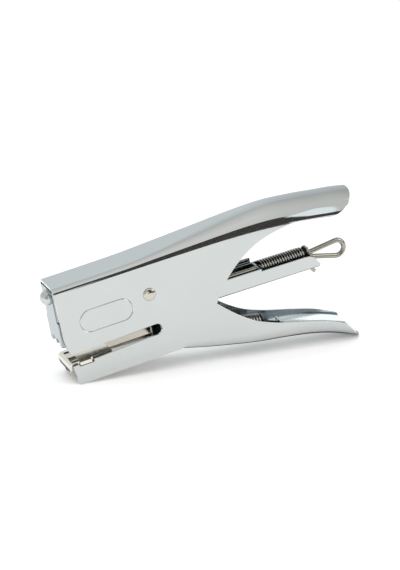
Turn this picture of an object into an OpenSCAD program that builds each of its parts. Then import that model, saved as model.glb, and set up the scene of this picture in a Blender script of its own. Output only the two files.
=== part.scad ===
// Plier stapler: pressed sheet shell with upper handle, lower lever, swinging staple
// magazine with front tower, driver, and a pull-out feed unit with its pusher and spring.
// Millimetres. Modelled standing as it rests: jaw corners and lever tip on z = 0.
// Side profiles are drawn in the shell's own frame: origin on the pivot axis at mid
// width, X towards the handles, Z up through the roof. stand() then tips it to rest.

/* [Staples] */
// Crown width of the staple that the magazine takes
staple_w = 12.9; // [10:0.1:16]
// Leg length of that staple
staple_leg = 6; // [5:0.5:8]
// Side play of the staple in its channel
staple_play = 0.15; // [0.1:0.05:0.3]

/* [Sheet] */
// Sheet of the shell and upper handle
shell_t = 1.2; // [0.9:0.1:1.5]
// Sheet of the lever
lever_t = 1.0; // [0.8:0.1:1.3]
// Sheet of the magazine and its front plate
mag_t = 1.0; // [0.7:0.1:1.2]
// Gap between magazine and lever walls
mag_gap = 0.3; // [0.2:0.05:0.5]
// Gap between lever walls and shell cheeks
lever_gap = 0.2; // [0.15:0.05:0.5]

/* [Shell] */
// Pivot to the front edge of the cheeks
shell_front = 46.3; // [44:0.1:50]
// Roof height over the pivot at the front
roof_h = 17.8; // [17:0.1:22]
// Outside bend radius of the roof at the front
roof_r = 3.0; // [2:0.1:3.4]
// Height of the handle's back over the pivot, at its highest
hump_h = 24.0; // [22.5:0.1:28]
// Pivot to the handle end
handle_len = 113.9; // [106:0.1:130]
// Corner radius of the handle end, seen from above
handle_end_r = 7.5; // [4:0.1:8]
// Depth of the handle's side wall under its arch, near the end
handle_edge = 8.5; // [7:0.1:9]
// Depth of the jaw below the pivot
jaw_depth = 33.75; // [32:0.05:38]
// Corner radius of the jaw's foot
jaw_r = 0.8; // [0.4:0.1:2]
// Depth of the mouth's rear end into the cheek, behind the pivot
mouth_back = 3.0; // [1:0.1:3.4]
// Height of the mouth at the pivot
mouth_h = 5.8; // [4.5:0.1:5.8]
// Depth of the mouth's roof below the pivot
mouth_top = 15.95; // [15.6:0.05:17]

/* [Anvil] */
// Thickness of the anvil plate
anvil_t = 1.6; // [1.2:0.1:2]
// Depth of the anvil's top face below the pivot
anvil_top = 22.4; // [22:0.1:23]
// Distance that the anvil lip stands ahead of the jaw front
anvil_lip = 2.2; // [1.4:0.1:3]
// Length of each side tab
tab_l = 6.0; // [4:0.1:7]

/* [Pivot] */
// Shank diameter of the pivot rivet
pivot_d = 4.6; // [3.5:0.1:5]
// Head diameter of the pivot rivet
pivot_head_d = 6.6; // [6:0.1:9]
// Head height of the pivot rivet
pivot_head_h = 1.3; // [0.8:0.1:2]
// Running clearance of the ears on the shank, on radius
run_gap = 0.05; // [0.02:0.01:0.1]

/* [Lever] */
// Pivot to the lever tip, along the shell
lever_len = 107.5; // [100:0.1:122]
// Drop of the lever tip below the pivot
lever_drop = 62.7; // [60:0.1:70]
// Corner radius of the lever tip, seen from above
lever_end_r = 9.8; // [4:0.1:10]
// Extra half width of the lever at the grip
lever_flare = 1.5; // [0:0.1:1.6]
// Radius of the nose tongue that works the driver
tongue_r = 1.5; // [1.2:0.1:1.6]

/* [Magazine] */
// Pivot to the rear face of the front plate
throat_x = 46.0; // [45:0.1:48]
// Pivot to the rear end of the magazine
mag_rear = 91.4; // [88:0.1:100]
// Depth of the magazine's underside below the pivot
mag_floor = 15.1; // [14.6:0.05:15.2]
// Where the wall steps down for loading
step_x = 59.8; // [50:0.1:62]
// Tilt of the magazine against the shell, rear end down
mag_tilt = 1.07; // [0.8:0.01:1.4]
// Sphere radius of the dome on the front plate
dome_r = 3.9; // [3:0.1:4.5]
// Height of the dome above the pivot
dome_z = 9.9; // [9:0.1:11]

/* [Driver] */
// Thickness of the driver blade
blade_t = 0.9; // [0.6:0.05:1]

/* [Feed] */
// Wire diameter of the guide rod and its pull loop
rod_d = 2.6; // [2:0.1:3]
// Depth of the rod below the pivot
rod_z = 8.8; // [8.6:0.1:9.2]
// Bend radius of the pull loop, on the wire's middle
loop_r = 3.9; // [3.3:0.1:4]
// Length of the pusher
pusher_l = 24; // [15:0.5:30]
// Front face of the pusher behind the pivot, as loaded
pusher_x = 37; // [30:0.5:37]
// Wire diameter of the follower spring
fs_wire = 0.9; // [0.6:0.05:1]
// Outside diameter of the follower spring
fs_od = 7.6; // [6:0.1:8]
// Turns of the follower spring
fs_turns = 17; // [12:1:18]

/* [Return spring] */
// Wire diameter of the return spring
rs_wire = 1.0; // [0.8:0.05:1.1]
// Outside diameter of the return spring
rs_od = 8.0; // [6:0.1:8.5]
// Turns of the return spring at full size
rs_turns = 22; // [14:1:24]
// Pitch of those turns
rs_pitch = 1.5; // [1.45:0.05:1.6]

/* [Hidden] */
$fn = 48;

// Half widths, from the staple outwards
mag_in = staple_w / 2 + staple_play;
mag_out = mag_in + mag_t;
lever_in = mag_out + mag_gap;
lever_out = lever_in + lever_t;
shell_in = lever_out + lever_gap;
shell_out = shell_in + shell_t;
body_w = 2 * shell_out;
chrome = [0.78, 0.80, 0.82];
nickel = [0.80, 0.77, 0.72];
dark_steel = [0.25, 0.25, 0.27];

// Resting tilt: a line that touches the jaw's foot radius and the lever tip
foot_c = [-(shell_front - 3.0) + jaw_r, -jaw_depth + jaw_r];
tip_p = [lever_len, -lever_drop];
foot_d = foot_c - tip_p;
stand_tilt = atan2(foot_d[1], -foot_d[0]) - asin(jaw_r / norm(foot_d));
function stand_x(p) = p[0] * cos(stand_tilt) - p[1] * sin(stand_tilt);
function stand_z(p) = p[0] * sin(stand_tilt) + p[1] * cos(stand_tilt);
// A point of the magazine's frame in the shell's frame
function from_mag(p) = [p[0] * cos(mag_tilt) + p[1] * sin(mag_tilt),
    p[1] * cos(mag_tilt) - p[0] * sin(mag_tilt)];
plate_front = -throat_x - mag_t;
dome_h = dome_r - 0.1;
dome_c = from_mag([plate_front - dome_h + dome_r, dome_z]);
front_end = stand_x(dome_c) - dome_r;
rear_end = stand_x(tip_p);
mid_x = (front_end + rear_end) / 2;
ground = stand_z(tip_p);

module stand() {
    translate([-mid_x, 0, -ground]) rotate([0, -stand_tilt, 0]) children();
}
module mag_frame() {
    rotate([0, mag_tilt, 0]) children();
}

// Side profile in X and Z made solid across the width
module across(pts, half) {
    rotate([90, 0, 0]) linear_extrude(height = 2 * half, center = true) polygon(pts);
}
// Cylinder along Y, centred on the mid plane
module pin_y(x, z, r, half) {
    translate([x, 0, z]) rotate([90, 0, 0]) cylinder(r = r, h = 2 * half, center = true);
}
module pin_x(x0, x1, y, z, r) {
    translate([x0, y, z]) rotate([0, 90, 0]) cylinder(r = r, h = x1 - x0);
}
module box(x0, x1, y0, y1, z0, z1) {
    translate([x0, y0, z0]) cube([x1 - x0, y1 - y0, z1 - z0]);
}

// Corner fillet: arc points for corner b between a and c, radius r
function unit(v) = v / norm(v);
function fillet(a, b, c, r, n) = r <= 0 ? [b] :
    let (u = unit(a - b), w = unit(c - b), h = acos(u * w) / 2, m = unit(u + w),
        o = b + m * (r / sin(h)), p = b + u * (r / tan(h)), q = b + w * (r / tan(h)),
        a0 = atan2(p[1] - o[1], p[0] - o[0]), a1 = atan2(q[1] - o[1], q[0] - o[0]),
        d0 = a1 - a0, d = d0 > 180 ? d0 - 360 : d0 < -180 ? d0 + 360 : d0)
    [for (i = [0 : n]) o + r * [cos(a0 + d * i / n), sin(a0 + d * i / n)]];
// Closed outline from corners [x, z, radius]
function xz(p) = [p[0], p[1]];
function soft(pts, n = 5) = [for (i = [0 : len(pts) - 1])
    let (k = len(pts), a = pts[(i + k - 1) % k], b = pts[i], c = pts[(i + 1) % k])
    each fillet(xz(a), xz(b), xz(c), len(b) > 2 ? b[2] : 0, n)];
function soft_open(pts, n = 5) = [for (i = [0 : len(pts) - 1])
    let (b = pts[i], end = i == 0 || i == len(pts) - 1)
    each end ? [xz(b)] : fillet(xz(pts[i - 1]), xz(b), xz(pts[i + 1]), b[2], n)];
// Smooth curve through points
function bend(p0, p1, p2, p3, t) = 0.5 * (2 * p1 + (p2 - p0) * t
    + (2 * p0 - 5 * p1 + 4 * p2 - p3) * t * t + (3 * p1 - p0 - 3 * p2 + p3) * t * t * t);
function through(pts, n = 4) = [for (i = [0 : len(pts) - 2], j = [0 : n - 1])
    let (p0 = pts[max(i - 1, 0)], p3 = pts[min(i + 2, len(pts) - 1)])
    bend(p0, pts[i], pts[i + 1], p3, j / n)];
// Smooth height over x from a table of [x, height]
function slope(t, i) = i == 0 ? (t[1][1] - t[0][1]) / (t[1][0] - t[0][0])
    : i == len(t) - 1 ? (t[i][1] - t[i - 1][1]) / (t[i][0] - t[i - 1][0])
    : (t[i + 1][1] - t[i - 1][1]) / (t[i + 1][0] - t[i - 1][0]);
function seg(t, x, i = 0) = i >= len(t) - 2 || x < t[i + 1][0] ? i : seg(t, x, i + 1);
function level(t, x) = let (i = seg(t, x), h = t[i + 1][0] - t[i][0], s = (x - t[i][0]) / h)
    (2 * s * s * s - 3 * s * s + 1) * t[i][1] + (s * s * s - 2 * s * s + s) * h * slope(t, i)
    + (3 * s * s - 2 * s * s * s) * t[i + 1][1] + (s * s * s - s * s) * h * slope(t, i + 1);

// Round wire swept along points, each with a direction that one of its sides faces
function cross3(a, b) = [a[1] * b[2] - a[2] * b[1], a[2] * b[0] - a[0] * b[2],
    a[0] * b[1] - a[1] * b[0]];
module sweep(path, side, r, n = 6) {
    k = len(path);
    rings = [for (i = [0 : k - 1])
        let (t = unit(path[min(i + 1, k - 1)] - path[max(i - 1, 0)]),
            u = unit(side[i] - t * (side[i] * t)), v = cross3(t, u))
        each [for (j = [0 : n - 1]) path[i] + r * (cos(360 * j / n) * u + sin(360 * j / n) * v)]];
    walls = [for (i = [0 : k - 2], j = [0 : n - 1])
        let (a = i * n + j, b = i * n + (j + 1) % n)
        each [[a, b + n, b], [a, a + n, b + n]]];
    polyhedron(points = rings, faces = concat(walls, [[for (j = [0 : n - 1]) j],
        [for (j = [n - 1 : -1 : 0]) (k - 1) * n + j]]));
}
// Pressed channel whose bends grow along it: rings of a U, back at height top, walls to edge
// Each station is [x, half width, top, bend across, bend down]; dir -1 opens it upwards
bend_n = 7;
function u_line(s, edge, dir, t) = let (hw = s[1] - t, r = s[3] - t, rz = s[4] - t, z = s[2] - t)
    concat([[s[0], -hw, dir * edge]],
        [for (i = [0 : bend_n]) let (a = 180 - 90 * i / bend_n)
            [s[0], -hw + r + r * cos(a), dir * (z - rz + rz * sin(a))]],
        [for (i = [0 : bend_n]) let (a = 90 - 90 * i / bend_n)
            [s[0], hw - r + r * cos(a), dir * (z - rz + rz * sin(a))]],
        [[s[0], hw, dir * edge]]);
function back_to_front(v) = [for (i = [len(v) - 1 : -1 : 0]) v[i]];
function u_ring(s, edge, dir, t) = concat(u_line(s, edge, dir, 0),
    back_to_front(u_line(s, edge, dir, t)));
module pressed_channel(stations, edge, dir, t) {
    rings = [for (s = stations) u_ring(s, edge, dir, t)];
    m = len(rings[0]);
    k = len(rings);
    pts = [for (r = rings) each r];
    sides = [for (i = [0 : k - 2], j = [0 : m - 1]) let (a = i * m + j, b = i * m + (j + 1) % m)
        each [[a, b, b + m], [a, b + m, a + m]]];
    e = (k - 1) * m;
    ends = [for (j = [0 : m / 2 - 2]) let (a = j, b = j + 1, c = m - 2 - j, d = m - 1 - j)
        each [[a, c, b], [a, d, c], [e + a, e + b, e + c], [e + a, e + c, e + d]]];
    faces = concat(sides, ends);
    polyhedron(points = pts, faces = dir > 0 ? faces : [for (f = faces) back_to_front(f)]);
}
// Blank seen from above, with rounded rear corners
module blank(x1, corner_r, half, z0, z1) {
    r = min(corner_r, half - 0.4);
    translate([0, 0, z0]) linear_extrude(height = z1 - z0) {
        translate([-80, -half - 2]) square([80 + x1 - r, 2 * half + 4]);
        translate([-80, -half + r]) square([80 + x1, 2 * (half - r)]);
        for (s = [-1, 1]) translate([x1 - r, s * (half - r)]) circle(r = r);
    }
}

// Shell: back height, arch start and bend over x
back_z = [[-60, roof_h - 0.3], [-20, roof_h - 0.15], [0, roof_h + 0.5], [30, roof_h + 3.3],
    [52, hump_h - 0.8], [69, hump_h], [84, hump_h - 1.35], [97, hump_h - 3.2],
    [108, hump_h - 4.9], [handle_len + 10, hump_h - 8.4]];
arch_z = [[-60, 14.6], [40, 14.6], [56, 14.3], [68, 13.6], [81, 12.1], [100, 9.2],
    [handle_len + 10, 5.4]];
arch_r = [[-60, roof_r], [0, roof_r], [25, 5.7], [38, 7.3], [51, 8.6], [64, shell_out - 0.4],
    [72, shell_out - 0.05], [handle_len + 10, shell_out - 0.05]];
shell_xs = concat([-60, 0], [for (i = [1 : 23]) i * (handle_len + 6.4) / 24], [handle_len + 6.4]);
shell_stations = [for (x = shell_xs) [x, shell_out, level(back_z, x), level(arch_r, x),
    level(back_z, x) - level(arch_z, x)]];
jaw_front = -(shell_front - 3.0);
mouth_z1 = -mouth_top;
mouth_z0 = -mouth_top - mouth_h;
tab_x0 = jaw_front + 2.5;
notch_play = 0.5;
notch_z = -anvil_top - anvil_t - 0.45;
cheek_back = through([[10, -jaw_depth + 0.4], [18, -jaw_depth + 2.5], [25, -26.8], [30, -20.9],
    [35, -12.6], [40.4, -5.6], [47, 0.6], [55, 5.9], [64, 9.4],
    [0.651 * handle_len, handle_edge + 2.8], [0.704 * handle_len, handle_edge + 3.2],
    [0.757 * handle_len, handle_edge + 2.4], [0.828 * handle_len, handle_edge + 1.0],
    [0.88 * handle_len, handle_edge], [0.911 * handle_len, handle_edge + 0.4],
    [0.942 * handle_len, handle_edge + 1.8], [0.961 * handle_len, handle_edge + 3.0],
    [1.055 * handle_len, handle_edge + 4.0]], 4);
shell_side = concat(
    soft([[1.07 * handle_len, 45], [-shell_front, 45], [-shell_front, -9.5, 14],
        [-shell_front + 1.9, mouth_z1 - 1.2, 1.6], [mouth_back, mouth_z1, mouth_h / 2 - 0.1],
        [mouth_back, mouth_z0 + 0.1, mouth_h / 2 - 0.1],
        [tab_x0 + tab_l + notch_play + 0.7, mouth_z0 - 1.35, 0.25],
        [tab_x0 + tab_l + notch_play + 0.7, notch_z, 0.25],
        [tab_x0 - notch_play, notch_z, 0.25],
        [tab_x0 - notch_play, mouth_z0 - 1.7, 0.25],
        [jaw_front - 1.2, mouth_z0 - 1.9, 0.9], [jaw_front, -jaw_depth, jaw_r],
        [8, -jaw_depth + 0.4]], 6),
    cheek_back, [[1.07 * handle_len, handle_edge + 4.0]]);

module body_shell() {
    color(chrome) stand() difference() {
        intersection() {
            pressed_channel(shell_stations, -jaw_depth - 6, 1, shell_t);
            across(shell_side, shell_out + 1);
            blank(handle_len, handle_end_r, shell_out + 0.05, -60, 60);
        }
        pin_y(0, 0, pivot_d / 2, shell_out + 2);
    }
}

// Anvil: top plate with clinch grooves, front lip, side tabs and a rear tongue
anvil_front = jaw_front - anvil_lip - 1.0;
anvil_half = shell_in - 0.6;
anvil_rear = jaw_front + 19.5;
tongue_end = 2 * pivot_d;
hook_z = -anvil_top - 4.0;
// Where the driven staple lands when the magazine is down
squeeze = 20;
mag_swing = 10;
function turned(p, a) = [p[0] * cos(a) - p[1] * sin(a), p[0] * sin(a) + p[1] * cos(a)];
clinch_x = turned(from_mag([-throat_x + 0.55, -mag_floor]), mag_swing)[0];
module anvil() {
    z0 = -anvil_top;
    color(nickel) stand() difference() {
        union() {
            intersection() {
                across(soft([[anvil_rear, z0], [anvil_front, z0, anvil_t + 0.8],
                    [anvil_front + 0.6, z0 - 5.1, 0.3], [anvil_front + 0.6 + anvil_t, z0 - 5.1, 0.3],
                    [anvil_front + anvil_t, z0 - anvil_t, 0.8], [anvil_rear, z0 - anvil_t]]), anvil_half);
                translate([anvil_front - 1, 0, 0]) rotate([90, 0, 90])
                    linear_extrude(height = anvil_rear - anvil_front + 2)
                    union() {
                        translate([-anvil_half, z0 - 2.2]) square([2 * anvil_half, 4]);
                        translate([-anvil_half + 4, z0 - 8]) square([2 * anvil_half - 8, 9]);
                        for (s = [-1, 1]) translate([s * (anvil_half - 4), z0 - 2.2]) circle(r = 4);
                    }
            }
            box(tab_x0, tab_x0 + tab_l, -shell_out, shell_out, z0 - anvil_t, z0);
            across(soft([[anvil_rear - 1, z0], [anvil_rear + 0.1, z0, 0.4],
                [anvil_rear + 1.8, hook_z - 0.9 + anvil_t / 2, 1.2],
                [tongue_end - 1.2, hook_z - 0.9 + anvil_t / 2, 0.3], [tongue_end - 1.2, hook_z + 2.4],
                [tongue_end, hook_z + 2.4], [tongue_end, hook_z - 0.9 - anvil_t / 2, 0.6],
                [anvil_rear + 0.6, hook_z - 0.9 - anvil_t / 2, 2], [anvil_rear - 1.2, z0 - anvil_t, 1],
                [anvil_rear - 2, z0 - anvil_t]]), 4);
        }
        for (s = [-1, 1]) pin_x(clinch_x - 1.4, clinch_x + 2.2, s * (mag_in - 2.6), z0 + 4.3, 5);
        pin_x(tongue_end - 3, tongue_end + 2, 0, hook_z + 0.6, rs_wire / 2 + 0.25);
    }
}

// Domed head on the plane z = 0
module dome(r, h) {
    big = (r * r + h * h) / (2 * h);
    intersection() {
        translate([0, 0, h - big]) sphere(r = big);
        cylinder(r = r + 1, h = h + 1);
    }
}
module pivot_rivet() {
    color(nickel) stand() {
        pin_y(0, 0, pivot_d / 2, shell_out + 0.2);
        for (s = [-1, 1]) translate([0, s * shell_out, 0]) rotate([-90 * s, 0, 0])
            dome(pivot_head_d / 2, pivot_head_h);
    }
}
bush_r = pivot_d / 2 + 1.1;
washer_t = 0.6;
module pivot_bush() {
    color(dark_steel) stand() difference() {
        pin_y(0, 0, bush_r, mag_in - washer_t);
        pin_y(0, 0, pivot_d / 2, mag_in);
    }
}
module pivot_washers() {
    color(nickel) stand() for (s = [-1, 1]) difference() {
        translate([0, s * (mag_in - washer_t / 2 - 0.05), 0]) rotate([90, 0, 0])
            cylinder(r = bush_r + 0.6, h = washer_t - 0.1, center = true);
        pin_y(0, 0, pivot_d / 2, mag_in + 1);
    }
}

// Lever: a trough that opens upwards, ears at the pivot, arms to the nose
floor_z = [[-50, -14], [0, -30.9], [14.8, -35.7], [27.3, -39.7], [40, -43.2], [52.9, -46.3],
    [66, -49.1], [79.3, -52.1], [92.2, -56.1], [lever_len, -lever_drop],
    [lever_len + 6, -lever_drop - 3.1]];
floor_r = [[-50, 2.6], [0, 2.6], [15, 3.1], [26, 4], [39, 5], [52, 6], [65, 7.4], [78, 8.3],
    [90, lever_out - 0.2], [lever_len + 6, lever_out - 0.2]];
flare = [[-50, 0], [34, 0], [45, 0.65 * lever_flare], [58, lever_flare],
    [lever_len + 6, lever_flare]];
lever_xs = concat([-50, 0], [for (i = [1 : 20]) i * (lever_len + 5) / 21], [lever_len + 5]);
lever_stations = [for (x = lever_xs) [x, lever_out + max(level(flare, x), 0), -level(floor_z, x),
    level(floor_r, x) + max(level(flare, x), 0), level(floor_r, x) + 0.3]];
arm_top = roof_h - 2.9;
lever_front = -36.5;
wall_top = through([[22, -6.5], [33.3, -17.2], [41, -24.6], [47.9, -30.1], [55, -34.3],
    [64.7, -38.1], [75.5, -41.3], [89.2, -45.8], [98.8, -50.4],
    [lever_len + 4, -lever_drop + 6]], 4);
lever_side = concat(soft([[lever_len + 7, -90], [3, -90], [3, -15, 5], [-6, -9, 4],
        [-12, 3.5, 6], [lever_front, roof_h - 8.6, 1.2], [lever_front, arm_top, 1.2],
        [-7, arm_top, 10], [9, 8, 8], [20, -4.3]], 6),
    wall_top, [[lever_len + 7, -lever_drop + 5]]);
module lever() {
    color(chrome) stand() difference() {
        intersection() {
            pressed_channel(lever_stations, -22, -1, lever_t);
            across(lever_side, lever_out + 3);
            blank(lever_len, lever_end_r, lever_out + lever_flare + 0.05, -90, 40);
        }
        pin_y(0, 0, pivot_d / 2 + run_gap, lever_out + 2);
        for (s = [-1, 1]) translate([0, s * lever_out, 0]) mag_frame()
            pin_y(nose_pin[0], nose_pin[1], nose_pin_r, 2.5);
    }
}

// Nose block between the arms, with the tongue that works the driver and a rest stop on top
tongue_c = [-(throat_x - 5.1), roof_h - 5.4];
nose_pin = [-(throat_x - 13.4), roof_h - 5.7];
nose_pin_r = 1.2 * lever_t;
block_x0 = nose_pin[0] - 2.8 * lever_t;
block_x1 = nose_pin[0] + 2.6 * lever_t;
module lever_nose() {
    color(dark_steel) stand() mag_frame() difference() {
        union() {
            box(block_x0, block_x1, -lever_in, lever_in, nose_pin[1] - 2.2 * lever_t,
                nose_pin[1] + 2.1 * lever_t);
            box(block_x0 + 1, block_x1 - 1, -5, 5, nose_pin[1] + 2, roof_h - shell_t - 0.75);
            box(tongue_c[0], block_x0 + 0.5, -5.5, 5.5, tongue_c[1] - 1.0, tongue_c[1] + 0.6);
            pin_y(tongue_c[0], tongue_c[1], tongue_r, 5.5);
        }
        for (s = [-1, 1]) translate([0, s * lever_in, 0])
            pin_y(nose_pin[0], nose_pin[1], nose_pin_r, 2);
    }
}
module nose_pins() {
    color(nickel) stand() mag_frame() for (s = [-1, 1])
        translate([0, s * (lever_in - 2 + (lever_t + 2) / 2), 0])
            pin_y(nose_pin[0], nose_pin[1], nose_pin_r, (lever_t + 2) / 2);
}

// Bracket on the lever floor that holds the rear hook of the return spring
anchor_x = 66.4;
anchor_z = -41.7;
anchor_t = 1.2;
anchor_foot = 8;
anchor_floor = level(floor_z, anchor_x) + lever_t + 0.04;
anchor_fall = level(floor_z, anchor_x + anchor_foot) - level(floor_z, anchor_x);
module spring_anchor() {
    color(chrome) stand() difference() {
        intersection() {
            across(soft([[anchor_x, anchor_z + 1.4, 0.3], [anchor_x + anchor_t, anchor_z + 1.4, 0.3],
                [anchor_x + anchor_t, anchor_floor + 1.2, 1],
                [anchor_x + anchor_foot, anchor_floor + anchor_fall + 1.2],
                [anchor_x + anchor_foot, anchor_floor - 9], [anchor_x, anchor_floor - 9]], 4), 3.6);
            trough_core();
        }
        pin_x(anchor_x - 1, anchor_x + 3, 0, anchor_z, rs_wire / 2 + 0.25);
    }
}
// Room over the trough floor, its corners cut off to clear the bends
module trough_core() {
    translate([anchor_x, 0, anchor_floor]) rotate([0, atan2(-anchor_fall, anchor_foot), 0])
        rotate([90, 0, 90]) linear_extrude(height = 3 * anchor_foot, center = true)
            polygon([[-5, 20], [-5, 0.8], [-1.5, 0], [1.5, 0], [5, 0.8], [5, 20]]);
}

// Magazine: U channel with ears, in its own tilted frame
wall_z = -mag_floor + mag_t + staple_leg;
near_z = wall_z + 1.3;
far_z = wall_z + 3.0;
mag_side = soft([[-throat_x, -30], [-throat_x, wall_z + 2.3, 0.4],
    [-9, wall_z + 2.3, 3], [-6.2, 5.4, 5], [6.2, 5.4, 5],
    [9, far_z, 3], [step_x, far_z, 0.4], [step_x, wall_z + 0.2, 0.3],
    [mag_rear - 5.4, wall_z + 0.2, 1.2], [mag_rear - 3, wall_z - 1.0, 0.8],
    [mag_rear, -mag_floor + 1.9, 0.8], [mag_rear - 0.6, -mag_floor - 0.5], [mag_rear - 0.6, -30]], 6);
module mag_section() {
    z0 = -mag_floor;
    rotate([90, 0, 90]) linear_extrude(height = 200, center = true)
        polygon(soft([[-mag_out, 20], [-mag_out, z0, 1.5], [mag_out, z0, 1.5], [mag_out, 20],
            [mag_in, 20], [mag_in, z0 + mag_t, 0.5], [-mag_in, z0 + mag_t, 0.5], [-mag_in, 20]], 4));
}
floor_gap = 0.2;
module magazine_channel() {
    color(chrome) stand() mag_frame() difference() {
        intersection() {
            mag_section();
            across(mag_side, mag_out + 1);
        }
        box(13, step_x + 2, -mag_out - 1, 0, near_z, far_z + 5);
        pin_y(0, 0, pivot_d / 2 + run_gap, mag_out + 1);
        box(-throat_x - 1, -throat_x + 0.1 + blade_t + floor_gap, -mag_in, mag_in,
            -mag_floor - 1, -mag_floor + mag_t + 1);
        box(seat_x - 0.7, mag_rear + 5, -seat_finger - 0.3, seat_finger + 0.3,
            -mag_floor - 1, -mag_floor + mag_t + 1);
    }
}

// Front plate: flat strip with wings below, returns that guide the driver above
plate_top = roof_h - 2.8;
wing_z = -1.2;
return_x = -39.2;
module front_plate() {
    x0 = plate_front;
    x1 = -throat_x;
    foot_z = -mag_floor + 0.84;
    color([0.70, 0.74, 0.78]) stand() mag_frame() difference() {
        union() {
            rotate([90, 0, 90]) translate([0, 0, x0]) linear_extrude(height = x1 - x0)
                polygon(soft([[-mag_out - 0.9, foot_z, 0.8], [mag_out + 0.9, foot_z, 0.8],
                    [mag_out + 0.9, wing_z, 0.8], [mag_out - 0.5, wing_z + 0.01],
                    [mag_out - 0.5, plate_top, 1.2], [-mag_out + 0.5, plate_top, 1.2],
                    [-mag_out + 0.5, wing_z + 0.01], [-mag_out - 0.9, wing_z, 0.8]], 4));
            translate([0, 0, wing_z]) linear_extrude(height = plate_top - 0.6 - wing_z)
                polygon(soft([[x0, -mag_out, 1.4], [x0, mag_out, 1.4], [return_x, mag_out],
                    [return_x, mag_in], [x1, mag_in, 0.4], [x1, -mag_in, 0.4], [return_x, -mag_in],
                    [return_x, -mag_out]], 4));
        }
        pin_x(x0 - 1, x1 + 1, 0, dome_z, stud_r);
        for (s = [-1, 1]) translate([0, s * 3.0, 0])
            box(x0 - 1, x1 + 1, -2.1, 2.1, foot_z - 1, foot_z + 3.0);
    }
}
stud_r = 1.5;
module front_rivet() {
    color(nickel) stand() mag_frame() {
        translate([plate_front, 0, dome_z]) rotate([0, -90, 0]) dome(dome_r, dome_h);
        pin_x(plate_front - 0.5, -throat_x + 0.1 + blade_t, 0, dome_z, stud_r);
    }
}

// Driver: blade behind the front plate, and the holder that the nose tongue works in
blade_x = -throat_x + 0.1;
blade_half = mag_in - 0.2;
travel = tongue_c[1] - turned(tongue_c, squeeze - mag_swing)[1];
blade_foot = -mag_floor + travel;
holder_top = plate_top;
module driver_blade() {
    color(nickel) stand() mag_frame() difference() {
        box(blade_x, blade_x + blade_t, -blade_half, blade_half, blade_foot, holder_top);
        pin_x(blade_x - 1, blade_x + blade_t + 1, 0, dome_z, stud_r + 0.2);
        box(blade_x - 1, blade_x + blade_t + 1, -stud_r - 0.2, stud_r + 0.2, dome_z, holder_top + 1);
    }
}
holder_x = blade_x + blade_t;
module driver_holder() {
    z = tongue_c[1];
    h = tongue_r + 0.15;
    color(dark_steel) stand() mag_frame()
        across(soft([[holder_x, z - h - 1.1], [return_x, z - h - 1.1, 0.4], [return_x, z - h, 0.4],
            [holder_x + 0.8, z - h, 0.3], [holder_x + 0.8, z + h, 0.3], [return_x, z + h, 0.4],
            [return_x, z + h + 0.95, 0.4], [holder_x, z + h + 0.95]], 4), blade_half);
}

// Feed unit: rod with its pull loop, collar, seat with latch finger, washer
seat_x = mag_rear - 4.4;
seat_t = 1.2 * mag_t;
seat_finger = rod_d;
rod_front = -throat_x + 4.6;
loop_x = mag_rear + 16.7;
loop_line = soft_open([[seat_x + seat_t - 0.4, -rod_z], [seat_x + 2.8, -rod_z, 3],
    [loop_x, -rod_z + 2.2, loop_r], [loop_x, -rod_z - 7.6, loop_r],
    [seat_x + 3.2, -rod_z - rod_d - 0.1]], 8);
module guide_rod() {
    color(nickel) stand() mag_frame() union() {
        pin_x(rod_front, seat_x + seat_t, 0, -rod_z, rod_d / 2);
        sweep([for (p = loop_line) [p[0], 0, p[1]]], [for (p = loop_line) [0, 1, 0]],
            rod_d / 2 - 0.02, 16);
    }
}
module rod_collar() {
    color(dark_steel) stand() mag_frame() difference() {
        pin_x(rod_front, rod_front + 1.2, 0, -rod_z, rod_d / 2 + 0.6);
        pin_x(rod_front - 1, rod_front + 3, 0, -rod_z, rod_d / 2);
    }
}
module spring_seat() {
    z0 = -mag_floor + mag_t + 0.15;
    color(nickel) stand() mag_frame() difference() {
        union() {
            rotate([90, 0, 90]) translate([0, 0, seat_x]) linear_extrude(height = seat_t)
                polygon(soft([[-mag_in + 0.4, z0, 0.6], [mag_in - 0.4, z0, 0.6],
                    [mag_in - 0.4, -rod_z + 1, 1.2], [3.2, -rod_z + 1.6, 0.8], [2.4, -rod_z + 3.5, 0.8],
                    [-2.4, -rod_z + 3.5, 0.8], [-3.2, -rod_z + 1.6, 0.8],
                    [-mag_in + 0.4, -rod_z + 1, 1.2]], 4));
            across(soft([[seat_x, z0 + 0.5], [seat_x + seat_t, z0 + 0.5],
                [seat_x + seat_t, -mag_floor - 0.4, 1], [seat_x + 3.7, -mag_floor - 2.9, 0.2],
                [seat_x + 2.3, -mag_floor - 4.4, 0.2], [seat_x, -mag_floor - 1.4, 1]], 4), seat_finger);
        }
        pin_x(seat_x - 1, seat_x + 3, 0, -rod_z, rod_d / 2);
    }
}
washer_x = seat_x - 0.5;
module seat_washer() {
    color(dark_steel) stand() mag_frame() difference() {
        pin_x(washer_x, seat_x, 0, -rod_z, fs_od / 2);
        pin_x(washer_x - 1, seat_x + 1, 0, -rod_z, rod_d / 2 + 0.1);
    }
}

// Pusher: open-topped U on the rod
pusher_half = mag_in - 0.7;
module pusher() {
    x1 = pusher_x + pusher_l;
    z0 = -mag_floor + mag_t + 0.15;
    z1 = z0 + staple_leg + 0.45;
    color(nickel) stand() mag_frame() difference() {
        box(pusher_x, x1, -pusher_half, pusher_half, z0, z1);
        box(pusher_x + 1.2, x1 - 1, -pusher_half + 0.8, pusher_half - 0.8, z0 + 0.8, z1 + 1);
        pin_x(pusher_x - 1, x1 + 1, 0, -rod_z, rod_d / 2 + 0.2);
        pin_x(x1 - 6, x1 - 1, 0, -rod_z, fs_od / 2 - 1);
    }
}

// Least gap of the wire to itself, on its points
function self_gap(path, d, skip) = min([for (i = [0 : len(path) - 1 - skip],
    j = [i + skip : min(i + skip + 12, len(path) - 1)]) norm(path[i] - path[j])]) - d;

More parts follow.
